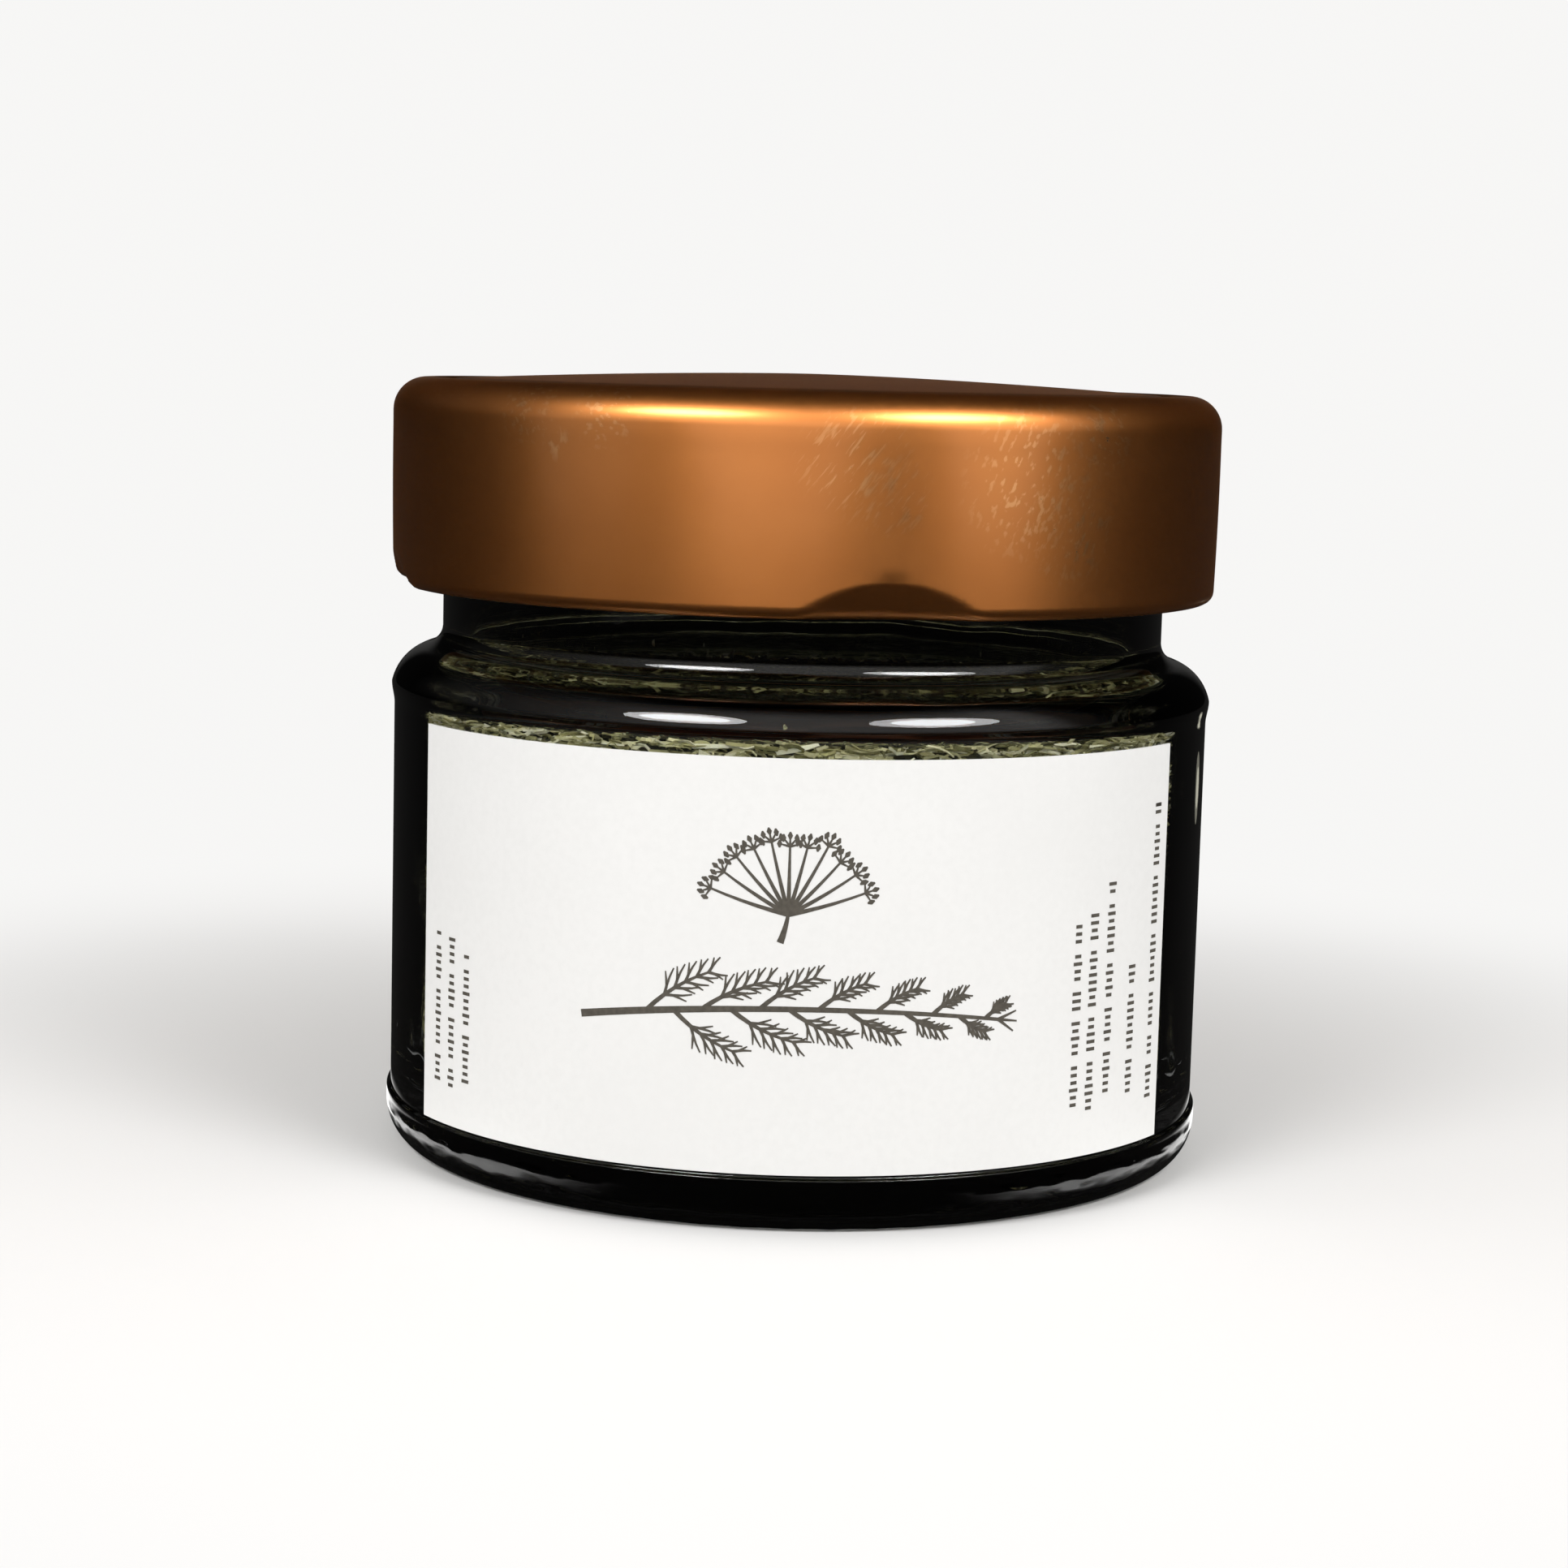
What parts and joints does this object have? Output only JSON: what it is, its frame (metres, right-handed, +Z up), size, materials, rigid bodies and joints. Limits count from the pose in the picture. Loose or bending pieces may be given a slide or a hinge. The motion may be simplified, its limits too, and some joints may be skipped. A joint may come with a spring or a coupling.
{
  "type": "jar of dried dill",
  "caption": "Squat round glass jar of rubbed dried dill with a paper label and a deep twist-off metal lid that screws up and down on the mouth's thread ridges.",
  "frame": {"origin": "centre of the jar's base, on the surface that it stands on", "axes": "+Z up the jar's axis to the lid, -Y towards the middle of the label (front), +X to the right of it"},
  "size_m": [0.061, 0.061, 0.0573],
  "materials": {
    "jar_glass": "gloss",
    "dried_dill": "matte",
    "label_paper": "matte",
    "sealing_compound": "satin",
    "lid_tinplate": "satin"
  },
  "bodies": {
    "jar": {"jar": "jar_glass", "dill_weed": "dried_dill", "label": "label_paper"},
    "lid_lift": {"lid_gasket": "sealing_compound"},
    "lid": {"lid": "lid_tinplate"}
  },
  "joints": [
    {"name": "lid_rise", "type": "slide", "parent": "jar", "child": "lid_lift", "axis": [0, 0, 1], "range_m": [0, 0.00168]},
    {"name": "lid_turn", "type": "hinge", "parent": "lid_lift", "child": "lid", "pos_m": [0, 0, 0.0484], "axis": [0, 0, 1], "range_deg": [0, 60]}
  ],
  "couplings": [
    {"joint": "lid_rise", "follows": "lid_turn", "m_per_rad": 0.0016}
  ]
}
